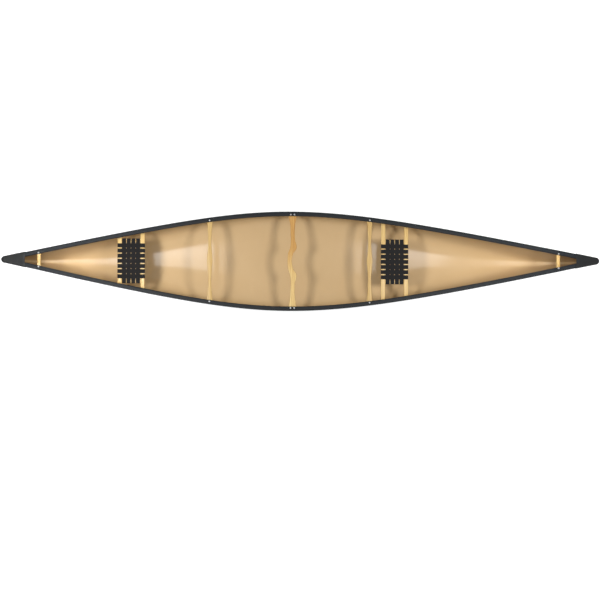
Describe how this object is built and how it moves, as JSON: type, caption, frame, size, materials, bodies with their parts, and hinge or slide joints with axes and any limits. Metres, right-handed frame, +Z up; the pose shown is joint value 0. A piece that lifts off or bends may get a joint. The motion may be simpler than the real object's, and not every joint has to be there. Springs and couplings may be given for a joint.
{
  "type": "canoe",
  "caption": "Open two-seat canoe with a moulded hull, dark gunwales and deck caps, wooden yoke, thwarts and carry handles, and webbed seats.",
  "frame": {"origin": "amidships on the keel line, at the lowest point of the hull, midway between the tips of the deck caps", "axes": "+X towards the bow, +Y to port, +Z up"},
  "size_m": [5.182, 0.8866, 0.589],
  "materials": {
    "hull": "gloss",
    "gunwale_vinyl": "satin",
    "deck_cap": "satin",
    "insert_aluminium": "satin",
    "hanger_aluminium": "satin",
    "ash_wood": "satin",
    "seat_webbing": "matte",
    "fastener_steel": "polished"
  },
  "bodies": {
    "root": {"hull_shell": "hull", "gunwale_port": "gunwale_vinyl", "gunwale_starboard": "gunwale_vinyl", "gunwale_insert_port": "insert_aluminium", "gunwale_insert_starboard": "insert_aluminium", "bow_deck_cap": "deck_cap", "stern_deck_cap": "deck_cap", "center_yoke": "ash_wood", "stern_thwart": "ash_wood", "bow_thwart": "ash_wood", "stern_carry_handle": "ash_wood", "bow_carry_handle": "ash_wood", "bow_seat_webbing": "seat_webbing", "stern_seat_webbing": "seat_webbing", "stern_seat_front_rail": "ash_wood", "stern_seat_rear_rail": "ash_wood", "stern_seat_port_rail": "ash_wood", "stern_seat_starboard_rail": "ash_wood", "bow_seat_front_rail": "ash_wood", "bow_seat_rear_rail": "ash_wood", "bow_seat_port_rail": "ash_wood", "bow_seat_starboard_rail": "ash_wood", "hanger_stern_front_port": "hanger_aluminium", "hanger_stern_front_starboard": "hanger_aluminium", "hanger_stern_rear_port": "hanger_aluminium", "hanger_stern_rear_starboard": "hanger_aluminium", "hanger_bow_front_port": "hanger_aluminium", "hanger_bow_front_starboard": "hanger_aluminium", "hanger_bow_rear_port": "hanger_aluminium", "hanger_bow_rear_starboard": "hanger_aluminium", "bolt_center_yoke_port_1": "fastener_steel", "bolt_center_yoke_port_2": "fastener_steel", "bolt_center_yoke_starboard_1": "fastener_steel", "bolt_center_yoke_starboard_2": "fastener_steel", "bolt_stern_thwart_port": "fastener_steel", "bolt_stern_thwart_starboard": "fastener_steel", "bolt_bow_thwart_port": "fastener_steel", "bolt_bow_thwart_starboard": "fastener_steel", "bolt_stern_carry_handle_port": "fastener_steel", "bolt_stern_carry_handle_starboard": "fastener_steel", "bolt_bow_carry_handle_port": "fastener_steel", "bolt_bow_carry_handle_starboard": "fastener_steel", "nut_center_yoke_port_1": "fastener_steel", "nut_center_yoke_port_2": "fastener_steel", "nut_center_yoke_starboard_1": "fastener_steel", "nut_center_yoke_starboard_2": "fastener_steel", "nut_stern_thwart_port": "fastener_steel", "nut_stern_thwart_starboard": "fastener_steel", "nut_bow_thwart_port": "fastener_steel", "nut_bow_thwart_starboard": "fastener_steel", "seat_screw_stern_front_port": "fastener_steel", "seat_screw_stern_front_starboard": "fastener_steel", "seat_screw_stern_rear_port": "fastener_steel", "seat_screw_stern_rear_starboard": "fastener_steel", "seat_screw_bow_front_port": "fastener_steel", "seat_screw_bow_front_starboard": "fastener_steel", "seat_screw_bow_rear_port": "fastener_steel", "seat_screw_bow_rear_starboard": "fastener_steel"}
  },
  "joints": []
}
